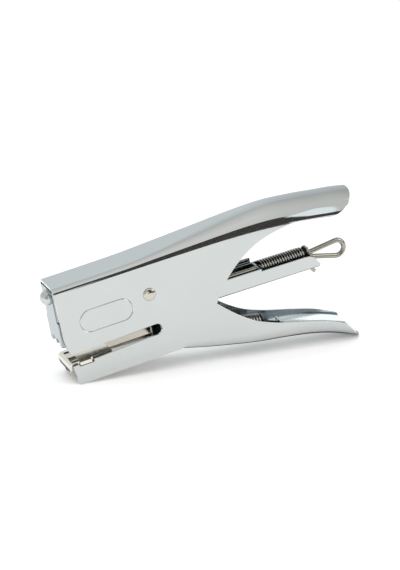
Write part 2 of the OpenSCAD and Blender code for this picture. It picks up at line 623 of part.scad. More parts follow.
// Follower spring round the rod, between pusher and seat washer
fs_r = fs_od / 2 - fs_wire / 2;
fs_x0 = pusher_x + pusher_l;
fs_n = fs_turns * 8;
fs_run = washer_x - fs_x0 - 2 * fs_wire;
fs_path = concat([[fs_x0, fs_r, 0]],
    [for (i = [0 : fs_n]) [fs_x0 + fs_wire + fs_run * i / fs_n, fs_r * cos(45 * i),
        fs_r * sin(45 * i)]], [[washer_x, fs_r, 0]]);
fs_side = concat([[0, 1, 0]], [for (i = [0 : fs_n]) [0, cos(45 * i), sin(45 * i)]], [[0, 1, 0]]);
echo(follower_spring_gap = self_gap(fs_path, fs_wire, 5));
module follower_spring() {
    color(dark_steel) stand() mag_frame() translate([0, 0, -rod_z])
        sweep(fs_path, fs_side, fs_wire / 2);
}

// Return spring from the anvil's tongue to the lever's bracket, hooks at both ends
rs_a = [tongue_end - 0.6, hook_z + 0.6];
tail_drop = 1.2;
rs_b = [anchor_x + anchor_t / 2, anchor_z + tail_drop];
rs_len = norm(rs_b - rs_a);
rs_dir = atan2(rs_b[1] - rs_a[1], rs_b[0] - rs_a[0]);
rs_r = rs_od / 2 - rs_wire / 2;
rs_n = (rs_turns + 2) * 8;
rs_coil = rs_turns * rs_pitch + 5;
rs_u1 = rs_len - 8.6;
rs_u0 = rs_u1 - rs_coil;
function rs_ramp(i) = min(1, i / 8, (rs_n - i) / 8);
function rs_rad(i) = rs_r * (1 - cos(180 * rs_ramp(i))) / 2;
function rs_u(i) = i < 8 ? 2.5 * i / 8 : i > rs_n - 8 ? rs_coil - 2.5 * (rs_n - i) / 8
    : 2.5 + (rs_coil - 5) * (i - 8) / (rs_n - 16);
hook_out = 1.0;
function hook(s, u, z) = [for (a = [0 : 30 : 90]) [u + s * (hook_out + 1.2 * sin(a)), 0,
    z - s * 1.2 * (1 - cos(a))]];
rs_path = concat([[-hook_out - 1.2, 0, 2.4]], back_to_front(hook(-1, 0, 0)), [[1.5, 0, 0]],
    [for (i = [0 : rs_n]) [rs_u0 + rs_u(i), rs_rad(i) * cos(45 * i), rs_rad(i) * sin(45 * i)]],
    [[rs_u1 + 1.2, 0, -0.2], [rs_len - 1.2, 0, -tail_drop]], hook(1, rs_len, -tail_drop),
    [[rs_len + hook_out + 1.2, 0, -tail_drop - 2.4]]);
rs_side = concat([for (i = [0 : 5]) [0, 1, 0]],
    [for (i = [0 : rs_n]) [0, cos(45 * i), sin(45 * i)]], [for (i = [0 : 6]) [0, 1, 0]]);
echo(return_spring_gap = self_gap(rs_path, rs_wire, 6));
module return_spring() {
    color(dark_steel) stand() translate([rs_a[0], 0, rs_a[1]]) rotate([0, -rs_dir, 0])
        sweep(rs_path, rs_side, rs_wire / 2);
}

body_shell();
anvil();
pivot_rivet();
pivot_bush();
pivot_washers();
lever();
lever_nose();
nose_pins();
spring_anchor();
return_spring();
magazine_channel();
front_plate();
front_rivet();
driver_blade();
driver_holder();
guide_rod();
rod_collar();
spring_seat();
seat_washer();
follower_spring();
pusher();
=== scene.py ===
# %% [markdown]
# # A chrome plier stapler
#
# This lesson dresses a finished construction model of a small plier stapler in its real
# finishes. The construction gives every piece its place and its size. A mirror finish shows
# every facet of a shape, so the pieces that curve are modelled again here with finer
# surfaces, on the same measurements, and then each gets the metal it is made of.
#
# Lengths on the tool are written in millimetres, and the factor MM turns them into metres.

# %% Load the construction model
import math
import bpy
from mathutils import Matrix, Vector


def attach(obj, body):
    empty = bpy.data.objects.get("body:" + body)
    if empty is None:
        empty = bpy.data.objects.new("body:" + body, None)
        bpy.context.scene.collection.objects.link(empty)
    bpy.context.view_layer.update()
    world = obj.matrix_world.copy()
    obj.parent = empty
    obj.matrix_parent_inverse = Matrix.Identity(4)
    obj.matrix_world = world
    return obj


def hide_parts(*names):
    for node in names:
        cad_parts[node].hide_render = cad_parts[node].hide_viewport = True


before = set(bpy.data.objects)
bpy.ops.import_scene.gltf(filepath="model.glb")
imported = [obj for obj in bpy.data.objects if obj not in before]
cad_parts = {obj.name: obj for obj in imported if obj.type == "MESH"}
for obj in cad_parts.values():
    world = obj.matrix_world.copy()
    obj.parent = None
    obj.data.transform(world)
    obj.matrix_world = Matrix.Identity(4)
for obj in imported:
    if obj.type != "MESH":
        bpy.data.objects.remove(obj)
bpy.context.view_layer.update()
MM = 0.001

# %% [markdown]
# ## Where the stapler sits
#
# The stapler rests on its jaw and on the tip of its lower lever, so it is tipped up by
# about eleven degrees. Shapes are easier to think about along the tool itself, with the
# pivot rivet as the origin, X towards the handles and Z up through the roof. One matrix
# turns such a point into its place in the room. The magazine hangs on the same rivet and
# leans one more degree, so it has a matrix of its own.

# %% From the stapler's own axes to the room
TIP_UP = math.radians(10.91834)
PIVOT = Vector((-32.81393, 0.0, 41.20346)) * MM
MAGAZINE_LEAN = math.radians(1.07)
HALF_WIDTH = 10.3

stand = Matrix.Translation(PIVOT) @ Matrix.Rotation(-TIP_UP, 4, "Y")
stand_magazine = stand @ Matrix.Rotation(MAGAZINE_LEAN, 4, "Y")
print("the pivot rivet is", round(stand.translation.z / MM, 1), "mm above the table")

# %% [markdown]
# ## The camera
#
# The camera looks from a little to the front end of the stapler and from twenty degrees
# above it, with a long lens from about a metre away. A long lens keeps the two handles
# almost parallel. The camera is placed so that the pivot rivet falls on its place in a
# frame of 400 by 570 pixels.

# %% Camera
AZIMUTH, ELEVATION = math.radians(-22.5), math.radians(19.9)
FOCAL_PX, FRAME_W, FRAME_H = 2000.0, 400, 570
RIVET_PX = (149.5, 294.4)
DISTANCE = 0.960
SENSOR = 36.0

flat_away = math.cos(ELEVATION)
back = Vector((math.sin(AZIMUTH) * flat_away, -math.cos(AZIMUTH) * flat_away,
               math.sin(ELEVATION)))
right = Vector((math.cos(AZIMUTH), math.sin(AZIMUTH), 0.0))
up = back.cross(right)
across = (RIVET_PX[0] - FRAME_W / 2) / FOCAL_PX
rise = (FRAME_H / 2 - RIVET_PX[1]) / FOCAL_PX
rivet_face = PIVOT + Vector((0.0, -HALF_WIDTH * MM, 0.0))
eye = rivet_face - (right * across + up * rise - back) * DISTANCE

lens = bpy.data.cameras.new("camera")
lens.sensor_fit = "HORIZONTAL"
lens.sensor_width = SENSOR
lens.lens = FOCAL_PX / FRAME_W * SENSOR
lens.clip_start, lens.clip_end = 0.05, 20.0
camera = bpy.data.objects.new("camera", lens)
turned = Matrix((right, up, back)).transposed().to_4x4()
camera.matrix_world = Matrix.Translation(eye) @ turned
bpy.context.collection.objects.link(camera)
bpy.context.scene.camera = camera
print("the camera stands at", [round(x, 3) for x in eye])

# %% [markdown]
# ## Helpers for finishes
#
# Everything here is metal. Metals differ in colour and in how sharply they mirror, and all
# of them share the same small faults, so one function makes them all. It lays three bumps
# over each other: the slow wave of pressed sheet, the fine peel of plating, and drawing
# lines that run along the tool. Their sizes are real ones. A cloudy pattern varies the
# gloss and the tone a little, like the touch of fingers.
#
# Colours are given as the hex values a picture editor shows, and one function turns them
# into the linear values that the renderer adds up.

# %% Colour, node and metal helpers
def hex_colour(text):
    """An sRGB hex colour as linear RGBA."""
    parts = [int(text[i : i + 2], 16) / 255 for i in (1, 3, 5)]
    linear = [c / 12.92 if c <= 0.04045 else ((c + 0.055) / 1.055) ** 2.4 for c in parts]
    return (*linear, 1.0)


def add_node(owner, kind, links=(), **settings):
    """Adds a node to a material or a world, sets it, and links (socket, source, output)."""
    tree = owner.node_tree
    node = tree.nodes.new(kind)
    for name, value in settings.items():
        if hasattr(node, name):
            setattr(node, name, value)
        else:
            node.inputs[name.replace("_", " ")].default_value = value
    for socket, source, output in links:
        tree.links.new(source.outputs[output], node.inputs[socket])
    return node


LINE_STRETCH = 0.08
CLOUD_TO_WAVE = 1.7
DARKEST_TINT = 0.96


def metal(name, colour, sheen, wave, peel, lines):
    """A metal from its lowest and highest roughness and three bumps (size, depth) in mm."""
    material = bpy.data.materials.new(name)
    material.use_nodes = True
    links = material.node_tree.links
    shader = material.node_tree.nodes["Principled BSDF"]
    shader.inputs["Metallic"].default_value = 1.0
    place = add_node(material, "ShaderNodeTexCoord")
    along = add_node(material, "ShaderNodeMapping", [("Vector", place, "Object")],
                     Rotation=(0, TIP_UP, 0), Scale=(LINE_STRETCH, 1.0, 1.0))

    bump = None
    for source, output, (size, depth), detail in [
        (place, "Object", wave, 1.0), (place, "Object", peel, 2.0), (along, "Vector", lines, 3.0),
    ]:
        noise = add_node(material, "ShaderNodeTexNoise", [("Vector", source, output)],
                         Scale=1 / (size * MM), Detail=detail)
        below = [("Normal", bump, "Normal")] if bump else []
        bump = add_node(material, "ShaderNodeBump", [("Height", noise, "Fac")] + below,
                        Distance=depth * MM)
    links.new(bump.outputs["Normal"], shader.inputs["Normal"])

    # The cloudy noise seldom leaves 0.3 to 0.7, so that range is spread over the whole sheen.
    cloud = add_node(material, "ShaderNodeTexNoise", [("Vector", place, "Object")],
                     Scale=1 / (wave[0] * CLOUD_TO_WAVE * MM), Detail=4.0, Roughness=0.6)
    gloss = add_node(material, "ShaderNodeMapRange", [("Value", cloud, "Fac")],
                     From_Min=0.3, From_Max=0.7, To_Min=sheen[0], To_Max=sheen[1])
    links.new(gloss.outputs["Result"], shader.inputs["Roughness"])
    tint = add_node(material, "ShaderNodeMapRange", [("Value", cloud, "Fac")],
                    From_Min=0.25, From_Max=0.75, To_Min=DARKEST_TINT, To_Max=1.0)
    shade = add_node(material, "ShaderNodeVectorMath", [("Scale", tint, "Result")],
                     operation="SCALE", Vector=hex_colour(colour)[:3])
    links.new(shade.outputs["Vector"], shader.inputs["Base Color"])
    return material


def paint_ridge_glints(material, between_coils_dark):
    """Paints a glint: the metal's own tone only where the attribute ridge is high, a dark tone
    elsewhere.
    """
    links = material.node_tree.links
    base = material.node_tree.nodes["Principled BSDF"].inputs["Base Color"]
    bright = base.links[0].from_socket
    ridge = add_node(material, "ShaderNodeAttribute", attribute_name="ridge")
    share = add_node(material, "ShaderNodeMapRange", [("Value", ridge, "Fac")],
                     From_Min=0.35, From_Max=1.0)
    # The ridge keeps the metal's tone as a painted glint, and the rest of the wire takes the dark
    # tone.
    mix = add_node(material, "ShaderNodeMix", [("Factor", share, "Result")], data_type="RGBA")
    socket = {s.identifier: s for s in (*mix.inputs, *mix.outputs)}
    socket["A_Color"].default_value = hex_colour(between_coils_dark)
    links.new(bright, socket["B_Color"])
    links.new(socket["Result_Color"], base)


print("middle grey is", round(hex_colour("#808080")[0], 3), "of white in linear light")

# %% [markdown]
# ## The ten finishes
#
# The eye tells the pieces apart by small differences between their metals. The chrome is
# cool and sharp, nickel is warmer, and whatever lies inside is duller. Each finish below
# says what it gives the eye. The three pairs of numbers at the end of each are the wave, the
# peel and the lines.

# %% The finishes of this tool
# Polished chrome: a cool, sharp mirror, very slightly wavy, as pressed sheet is.
chrome = metal("chrome_plated_steel", "#C6C9C8", (0.03, 0.07),
               (16, 0.012), (1.6, 0.0006), (0.35, 0.00015))

# Chrome deposits thinly in a trough: a bluish, blurred shine that marks the inside.
chrome_inside = metal("chrome_flash_inside", "#BAC1C4", (0.1, 0.2),
                      (9, 0.015), (1.2, 0.004), (0.3, 0.0006))

# Rolled steel inside the shell: a warmer and softer tone that sets the mouth back.
bright_inside = metal("bright_rolled_steel", "#C9C4BA", (0.1, 0.2),
                      (9, 0.012), (1.2, 0.002), (0.3, 0.0006))

# Sheared edges are rough under their plating, and their near-white tone is a painted highlight: a
# bright line along every outline.
sheared_edge_highlight = metal("sheared_edge_painted_highlight", "#EEF0F0", (0.2, 0.32),
                 (5, 0.01), (0.8, 0.003), (0.2, 0.002))

# Zinc plating: a soft blue-grey that keeps the front plate quiet beside the chrome.
satin = metal("zinc_plated_steel", "#A0A8AA", (0.12, 0.2),
              (9, 0.01), (1.2, 0.001), (0.3, 0.0006))

# Nickel plating: a warm shine that makes a rivet stand out from the cool cheek.
nickel = metal("nickel_plated_steel", "#C9C4B9", (0.08, 0.14),
               (8, 0.01), (1.0, 0.001), (0.3, 0.0005))

# Electroless nickel: pale and warm, it lights up the anvil in the dark mouth.
anvil_nickel = metal("electroless_nickel", "#E2DDD2", (0.12, 0.2),
                     (8, 0.01), (1.0, 0.001), (0.3, 0.0005))

# Drawn wire under nickel: a grey-brown tone with one long highlight.
wire_nickel = metal("satin_nickel_wire", "#A5A297", (0.1, 0.17),
                    (6, 0.01), (0.8, 0.001), (0.25, 0.001))

# Black steel under oil: it lets the inner pieces sink into the shade.
dark = metal("oiled_black_steel", "#4A4A4C", (0.3, 0.42),
             (6, 0.01), (0.8, 0.002), (0.3, 0.001))

# Spring wire: a painted glint on the outer ridge of each coil and a dark tone between the coils,
# so each coil shows.
spring = metal("spring_wire_painted_glints", "#B9B6AE", (0.03, 0.07),
               (4, 0.004), (0.8, 0.001), (0.25, 0.0004))
paint_ridge_glints(spring, "#2A2F34")
print(len(bpy.data.materials), "materials are in the file")

# %% [markdown]
# ## Tools for bent sheet
#
# The body and the lever are pressed from flat sheet: a blank is cut out and folded into a
# long channel whose corners grow rounder towards the grip. Drawing that with a few big
# faces would show as facets in chrome. Instead a fine grid is laid over a smooth formula,
# given its sheet thickness, and then trimmed to the outline of the blank.
#
# The first tool reads a smooth curve out of a short table of measured heights. The second
# rounds the corners of an outline, and the third draws a flowing line through points.

# %% Smooth curves from a few measurements
def height_at(table, x):
    """The smooth height at x in a table of (x, height)."""
    last = len(table) - 1
    i = 0
    while i < last - 1 and x >= table[i + 1][0]:
        i += 1

    def slope(k):
        a, b = max(k - 1, 0), min(k + 1, last)
        return (table[b][1] - table[a][1]) / (table[b][0] - table[a][0])

    (x0, z0), (x1, z1) = table[i], table[i + 1]
    h, s = x1 - x0, (x - x0) / (x1 - x0)
    rise_part = (s**3 - 2 * s**2 + s) * h * slope(i) + (s**3 - s**2) * h * slope(i + 1)
    return (2 * s**3 - 3 * s**2 + 1) * z0 + (3 * s**2 - 2 * s**3) * z1 + rise_part


def rounded(corners, steps=10, closed=True):
    """An outline with round corners from (x, z) or (x, z, radius)."""
    outline, count = [], len(corners)
    for k, corner in enumerate(corners):
        here = Vector(corner[:2])
        radius = corner[2] if len(corner) > 2 else 0
        if radius <= 0 or (not closed and k in (0, count - 1)):
            outline.append(here)
            continue
        u = (Vector(corners[k - 1][:2]) - here).normalized()
        w = (Vector(corners[(k + 1) % count][:2]) - here).normalized()
        half = u.angle(w) / 2
        middle = here + (u + w).normalized() * (radius / math.sin(half))
        start = here + u * (radius / math.tan(half)) - middle
        end = here + w * (radius / math.tan(half)) - middle
        turn = math.atan2(end.y, end.x) - math.atan2(start.y, start.x)
        turn = (turn + math.pi) % (2 * math.pi) - math.pi
        for i in range(steps + 1):
            outline.append(middle + Matrix.Rotation(turn * i / steps, 2) @ start)
    return outline


def flowing(points, steps=12):
    """A smooth line through points, without the last one."""
    line = []
    for i in range(len(points) - 1):
        p0, p1 = Vector(points[max(i - 1, 0)]), Vector(points[i])
        p2, p3 = Vector(points[i + 1]), Vector(points[min(i + 2, len(points) - 1)])
        for j in range(steps):
            t = j / steps
            line.append(0.5 * (2 * p1 + (p2 - p0) * t
                               + (2 * p0 - 5 * p1 + 4 * p2 - p3) * t * t
                               + (3 * p1 - p0 - 3 * p2 + p3) * t**3))
    return line


print("a quarter circle takes", len(rounded([(0, 0), (5, 0, 2), (5, 5)])) - 2, "points")

# %% [markdown]
# The next tools work on objects. An operator acts on everything that is selected, so one
# helper always starts from a clean selection. A sheet starts as a grid primitive whose
# points are moved onto the form. A cutter starts as a filled circle whose points are moved
# onto the outline of the blank and extruded, and a boolean modifier keeps what lies inside.
# The cutter wears the sheared-edge finish with its painted highlight, and the boolean hands it on
# to each cut.

# %% Grid, thickness and trimming
def only(piece):
    """Selects one object and makes it the active one."""
    bpy.ops.object.select_all(action="DESELECT")
    piece.select_set(True)
    bpy.context.view_layer.objects.active = piece


def apply_modifier(piece, kind, **settings):
    """Adds a modifier with these settings and applies it at once."""
    only(piece)
    modifier = piece.modifiers.new(kind.lower(), kind)
    for name, value in settings.items():
        setattr(modifier, name, value)
    bpy.ops.object.modifier_apply(modifier=modifier.name)


def bent_sheet(name, stations, section, thickness, outside, inside):
    """A grid bent over section(x), the points across it in mm, then given its thickness."""
    rows = len(section(stations[0]))
    bpy.ops.object.select_all(action="DESELECT")
    bpy.ops.mesh.primitive_grid_add(x_subdivisions=len(stations) - 1,
                                    y_subdivisions=rows - 1, size=1)
    piece = bpy.context.active_object
    piece.name = name
    across_all = [section(x) for x in stations]
    for corner in piece.data.vertices:
        i = round((corner.co.x + 0.5) * (len(stations) - 1))
        j = round((corner.co.y + 0.5) * (rows - 1))
        corner.co = Vector((stations[i], *across_all[i][j])) * MM
    piece.data.materials.append(outside)
    piece.data.materials.append(inside)
    apply_modifier(piece, "SOLIDIFY", thickness=thickness * MM, offset=-1.0,
                   use_even_offset=True, material_offset=1)
    return piece


def block(outline, low, high, seen_from="side"):
    """A solid with this outline in mm, for trimming: seen from the side or from above."""
    bpy.ops.object.select_all(action="DESELECT")
    bpy.ops.mesh.primitive_circle_add(vertices=len(outline), fill_type="NGON")
    piece = bpy.context.active_object
    piece.data.materials.append(sheared_edge_highlight)
    for corner, (a, b) in zip(piece.data.vertices, outline):
        corner.co = Vector((a, low, b) if seen_from == "side" else (a, b, low)) * MM
    depth = (high - low) * MM
    way = (0, depth, 0) if seen_from == "side" else (0, 0, depth)
    bpy.ops.object.mode_set(mode="EDIT")
    bpy.ops.mesh.select_all(action="SELECT")
    bpy.ops.mesh.extrude_region_move(TRANSFORM_OT_translate={"value": way})
    bpy.ops.mesh.select_all(action="SELECT")
    bpy.ops.mesh.normals_make_consistent(inside=False)
    bpy.ops.object.mode_set(mode="OBJECT")
    return piece


def trim(piece, cutter, operation):
    """Keeps what lies inside the cutter (INTERSECT) or outside it (DIFFERENCE)."""
    apply_modifier(piece, "BOOLEAN", operation=operation, object=cutter, solver="EXACT",
                   material_mode="TRANSFER")
    bpy.data.objects.remove(cutter)


BEFORE_NOSE = -60
CLEARANCE = 0.05


def strip_end(end, half, radius, steps):
    """A strip seen from above with two round corners at its end, and wider before them."""
    start, tight, wide = BEFORE_NOSE, half + CLEARANCE, half + 1
    return rounded([(start, -wide), (end - radius, -wide), (end - radius, -tight),
                    (end, -tight, radius), (end, tight, radius),
                    (end - radius, tight), (end - radius, wide), (start, wide)], steps)


def pin_hole(x, z, radius, half_length):
    """A round bar across the tool, for boring a hole or as the shank of a rivet."""
    bpy.ops.object.select_all(action="DESELECT")
    bpy.ops.mesh.primitive_cylinder_add(vertices=64, radius=radius * MM,
                                        depth=2 * half_length * MM,
                                        location=(x * MM, 0, z * MM),
                                        rotation=(math.radians(90), 0, 0))
    bpy.ops.object.transform_apply(location=True, rotation=True, scale=True)
    return bpy.context.active_object


def finish_piece(piece, name, body, place, node, angle=30, edge=0.0):
    """Softens the edges, shades it smooth, places it and lets it stand for its node."""
    piece.name = piece.data.name = name
    if edge:
        apply_modifier(piece, "BEVEL", width=edge * MM, segments=2, limit_method="ANGLE",
                       angle_limit=math.radians(40), use_clamp_overlap=True)
    only(piece)
    bpy.ops.object.shade_smooth_by_angle(angle=math.radians(angle))
    apply_modifier(piece, "WEIGHTED_NORMAL", keep_sharp=True, weight=50)
    piece.data.transform(place)
    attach(piece, body)
    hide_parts(node)
    print(name, "has", len(piece.data.polygons), "faces")
    return piece


# %% [markdown]
# ## The body shell with its upper handle
#
# The shell is one strip of 1.2 mm sheet folded over a form. At the nose the fold is tight,
# with a radius of 3 mm. Towards the grip the back rises to a hump and the two corners grow
# until they meet in one round arch, which is what makes the handle pleasant to hold.
#
# The section at each place along the tool is a straight wall, a quarter of an ellipse, the
# flat of the roof, and the same mirrored. Three tables give the height of the back, where
# the arch starts on the wall, and how wide the bend is.

# %% Measurements of the shell
SHELL_SHEET = 1.2
HANDLE_END = 113.9
HUMP = 24.0
ROOF = 17.8
BEND_STEPS = 20
ROW_BEFORE_BEND = 0.8
back_height = [(-60, ROOF - 0.3), (-20, ROOF - 0.15), (0, ROOF + 0.5), (30, ROOF + 3.3),
               (52, HUMP - 0.8), (69, HUMP), (84, HUMP - 1.35), (97, HUMP - 3.2),
               (108, HUMP - 4.9), (HANDLE_END + 10, HUMP - 8.4)]
arch_start = [(-60, 14.6), (40, 14.6), (56, 14.3), (68, 13.6), (81, 12.1), (100, 9.2),
              (HANDLE_END + 10, 5.4)]
bend_width = [(-60, 3.0), (0, 3.0), (25, 5.7), (38, 7.3), (51, 8.6), (64, HALF_WIDTH - 0.4),
              (72, HALF_WIDTH - 0.05), (HANDLE_END + 10, HALF_WIDTH - 0.05)]


def shell_section(x):
    """Points (y, z) across the shell from its near wall over the roof to its far wall."""
    top, low, r = (height_at(table, x) for table in (back_height, arch_start, bend_width))
    half = [(-HALF_WIDTH, -36.0), (-HALF_WIDTH, low - ROW_BEFORE_BEND)]
    for i in range(BEND_STEPS + 1):
        a = math.radians(180 - 90 * i / BEND_STEPS)
        half.append((-HALF_WIDTH + r + r * math.cos(a), low + (top - low) * math.sin(a)))
    return half + [(-y, z) for y, z in reversed(half)]


shell = bent_sheet("shell", range(-48, 121), shell_section, SHELL_SHEET, chrome, bright_inside)
print("the folded sheet has", len(shell.data.polygons), "faces")

# %% [markdown]
# The blank was cut before folding, so all its edges stand square to the sheet. From the
# side the outline is the jaw with its mouth, the notch that holds the anvil's tab, and the
# long sweep from the jaw's heel up to the handle. From above, the handle's end has two
# round corners.

# %% Trim the shell to its blank
EDGE = 8.5
JAW_FRONT, TAB_START, TAB_LENGTH, NOTCH_PLAY = -43.3, -40.8, 6.0, 0.5
MOUTH_ROOF, MOUTH_FLOOR, NOTCH_FLOOR = -15.95, -21.75, -24.45
NOTCH_END = TAB_START + TAB_LENGTH + NOTCH_PLAY + 0.7
NOTCH_START = TAB_START - NOTCH_PLAY
HANDLE_CORNER = 7.5

heel = [(10, -33.35), (18, -31.25), (25, -26.8), (30, -20.9), (35, -12.6), (40.4, -5.6),
        (47, 0.6), (55, 5.9), (64, 9.4)]
grip = [(0.651, 2.8), (0.704, 3.2), (0.757, 2.4), (0.828, 1.0), (0.88, 0.0), (0.911, 0.4),
        (0.942, 1.8), (0.961, 3.0), (1.055, 4.0)]
sweep = heel + [(share * HANDLE_END, EDGE + lift) for share, lift in grip]

shell_side = rounded([
    (1.07 * HANDLE_END, 45), (-46.3, 45), (-46.3, -9.5, 14), (-44.4, MOUTH_ROOF - 1.2, 1.6),
    (3, MOUTH_ROOF, 2.8), (3, MOUTH_FLOOR + 0.1, 2.8),
    (NOTCH_END, MOUTH_FLOOR - 1.35, 0.25), (NOTCH_END, NOTCH_FLOOR, 0.25),
    (NOTCH_START, NOTCH_FLOOR, 0.25), (NOTCH_START, MOUTH_FLOOR - 1.7, 0.25),
    (JAW_FRONT - 1.2, MOUTH_FLOOR - 1.9, 0.9), (JAW_FRONT, -33.75, 0.8), (8, -33.35),
])
shell_side += flowing(sweep) + [Vector((1.07 * HANDLE_END, EDGE + 4.0))]
trim(shell, block(shell_side, -12, 12), "INTERSECT")
shell_above = strip_end(HANDLE_END, HALF_WIDTH, HANDLE_CORNER, 16)
trim(shell, block(shell_above, -60, 60, "above"), "INTERSECT")
trim(shell, pin_hole(0, 0, 2.3, 13), "DIFFERENCE")
print("the trimmed shell has", len(shell.data.polygons), "faces")

# %% [markdown]
# On the near cheek an oval outline is pressed into the sheet. A thin ring with a square
# section, half sunk into the sheet, cuts a groove with sloping walls: one wall catches the
# light and the other the dark, as a pressed line does. The ring starts as a torus, and its
# two halves are moved apart along the tool to make it long.

# %% The oval groove in the near cheek
OVAL_X, OVAL_Z, OVAL_RADIUS, OVAL_STRAIGHT = -23.0, -3.3, 5.7, 15.7
GROOVE, GROOVE_FLATTENED = 0.3, 0.8

bpy.ops.object.select_all(action="DESELECT")
bpy.ops.mesh.primitive_torus_add(major_segments=64, minor_segments=4,
                                 major_radius=OVAL_RADIUS * MM, minor_radius=GROOVE * MM,
                                 rotation=(math.radians(90), 0, 0))
ring = bpy.context.active_object
bpy.ops.object.transform_apply(location=True, rotation=True, scale=True)
for corner in ring.data.vertices:
    half_of = 1 if corner.co.x > 1e-7 else -1 if corner.co.x < -1e-7 else 0
    corner.co.y *= GROOVE_FLATTENED
    corner.co += Vector((half_of * OVAL_STRAIGHT / 2 + OVAL_X, -HALF_WIDTH, OVAL_Z)) * MM
trim(shell, ring, "DIFFERENCE")
finish_piece(shell, "shell_sheet", "body", stand, "body_shell")

# %% [markdown]
# ## The lever
#
# The lever is a second strip, 1 mm thick, folded the other way up into a trough. Its ears
# sit inside the shell on the same pivot rivet, and its grip spreads a little wider than
# the ears and rounds off into a spoon at the tip.

# %% Measurements of the lever
LEVER_SHEET = 1.0
LEVER_HALF, LEVER_LEN, LEVER_DROP, FLARE = 8.9, 107.5, 62.7, 1.5
floor_height = [(-50, -14), (0, -30.9), (14.8, -35.7), (27.3, -39.7), (40, -43.2),
                (52.9, -46.3), (66, -49.1), (79.3, -52.1), (92.2, -56.1),
                (LEVER_LEN, -LEVER_DROP), (LEVER_LEN + 6, -LEVER_DROP - 3.1)]
floor_bend = [(-50, 2.6), (0, 2.6), (15, 3.1), (26, 4), (39, 5), (52, 6), (65, 7.4), (78, 8.3),
              (90, LEVER_HALF - 0.2), (LEVER_LEN + 6, LEVER_HALF - 0.2)]
spread = [(-50, 0), (34, 0), (45, 0.65 * FLARE), (58, FLARE), (LEVER_LEN + 6, FLARE)]


def lever_section(x):
    """Points (y, z) across the lever from its far wall under the trough to its near wall."""
    wider = max(height_at(spread, x), 0)
    low, bend = height_at(floor_height, x), height_at(floor_bend, x)
    r, deep, w = bend + wider, bend + 0.3, LEVER_HALF + wider
    half = [(w, 20.0), (w, low + deep + ROW_BEFORE_BEND)]
    for i in range(BEND_STEPS + 1):
        a = math.radians(90 * i / BEND_STEPS)
        half.append((w - r + r * math.cos(a), low + deep - deep * math.sin(a)))
    return half + [(-y, z) for y, z in reversed(half)]


lever = bent_sheet("lever", range(-38, 113), lever_section, LEVER_SHEET, chrome, chrome_inside)
print("the folded lever has", len(lever.data.polygons), "faces")

# %% [markdown]
# The lever's blank is trimmed in the same way. From the side it has the arms that reach
# forward under the roof, a round step at the pivot, and walls that grow lower along the
# grip until they run out at the tip.

# %% Trim the lever to its blank
ARM_FRONT, ARM_TOP, ARM_FOOT = -36.5, ROOF - 2.9, ROOF - 8.6
SPOON_RADIUS = 9.8
wall_top = [(22, -6.5), (33.3, -17.2), (41, -24.6), (47.9, -30.1), (55, -34.3), (64.7, -38.1),
            (75.5, -41.3), (89.2, -45.8), (98.8, -50.4), (LEVER_LEN + 4, -LEVER_DROP + 6)]
lever_side = rounded([
    (LEVER_LEN + 7, -90), (3, -90), (3, -15, 5), (-6, -9, 4), (-12, 3.5, 6),
    (ARM_FRONT, ARM_FOOT, 1.2), (ARM_FRONT, ARM_TOP, 1.2), (-7, ARM_TOP, 10), (9, 8, 8),
    (20, -4.3),
])
lever_side += flowing(wall_top) + [Vector((LEVER_LEN + 7, -LEVER_DROP + 5))]
trim(lever, block(lever_side, -13, 13), "INTERSECT")
lever_above = strip_end(LEVER_LEN, LEVER_HALF + FLARE, SPOON_RADIUS, 20)
trim(lever, block(lever_above, -90, 40, "above"), "INTERSECT")
trim(lever, pin_hole(0, 0, 2.35, 13), "DIFFERENCE")
finish_piece(lever, "lever_sheet", "lever", stand, "lever")

# %% [markdown]
# ## Small formed parts
#
# The magazine, the front plate, the anvil, the pusher, the spring's seat and its bracket
# already have the right shape in the construction model. Its meshes are loose triangles,
# so each is copied, its doubled points are merged, and its sharp edges get the tiny
# rounding that tumbling and plating leave. That rounding is what draws a fine bright line
# along an edge of real plated metal.

# %% Refine copies of construction pieces
def refined_copy(node, name, body, edge):
    """A merged copy of a construction piece with softened edges, which stands for it."""
    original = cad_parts[node]
    piece = original.copy()
    piece.data = original.data.copy()
    piece.parent = None
    # The copy drops the node's own labels, so that it isn't taken for the node itself.
    for key in list(piece.keys()):
        del piece[key]
    bpy.context.collection.objects.link(piece)
    only(piece)
    bpy.ops.object.mode_set(mode="EDIT")
    bpy.ops.mesh.select_all(action="SELECT")
    bpy.ops.mesh.remove_doubles(threshold=0.002 * MM)
    bpy.ops.mesh.dissolve_limited(angle_limit=math.radians(0.5))
    bpy.ops.object.mode_set(mode="OBJECT")
    return finish_piece(piece, name, body, Matrix.Identity(4), node, edge=edge)


magazine = refined_copy("magazine_channel", "magazine_sheet", "magazine", 0.12)
plate = refined_copy("front_plate", "front_plate_sheet", "magazine", 0.12)
anvil = refined_copy("anvil", "anvil_plate", "body", 0.15)
pusher = refined_copy("pusher", "pusher_block", "pusher", 0.1)
seat = refined_copy("spring_seat", "spring_seat_plate", "feed", 0.12)
bracket = refined_copy("spring_anchor", "spring_bracket", "lever", 0.12)

# %% [markdown]
# ## Rivets
#
# The pivot rivet has a low dome on each cheek, and the front plate carries a nearly round
# one. A dome is the cap of a ball: a sphere primitive is cut off by a plane with bisect,
# which also closes the cut. Turning the ball so that its pole points outwards keeps the
# faces even where the eye looks.
#
# The pivot rivet's caps are then pressed flatter: a curve that is level in the middle and
# drops steeply at the rim gives them the set look of a riveting tool.

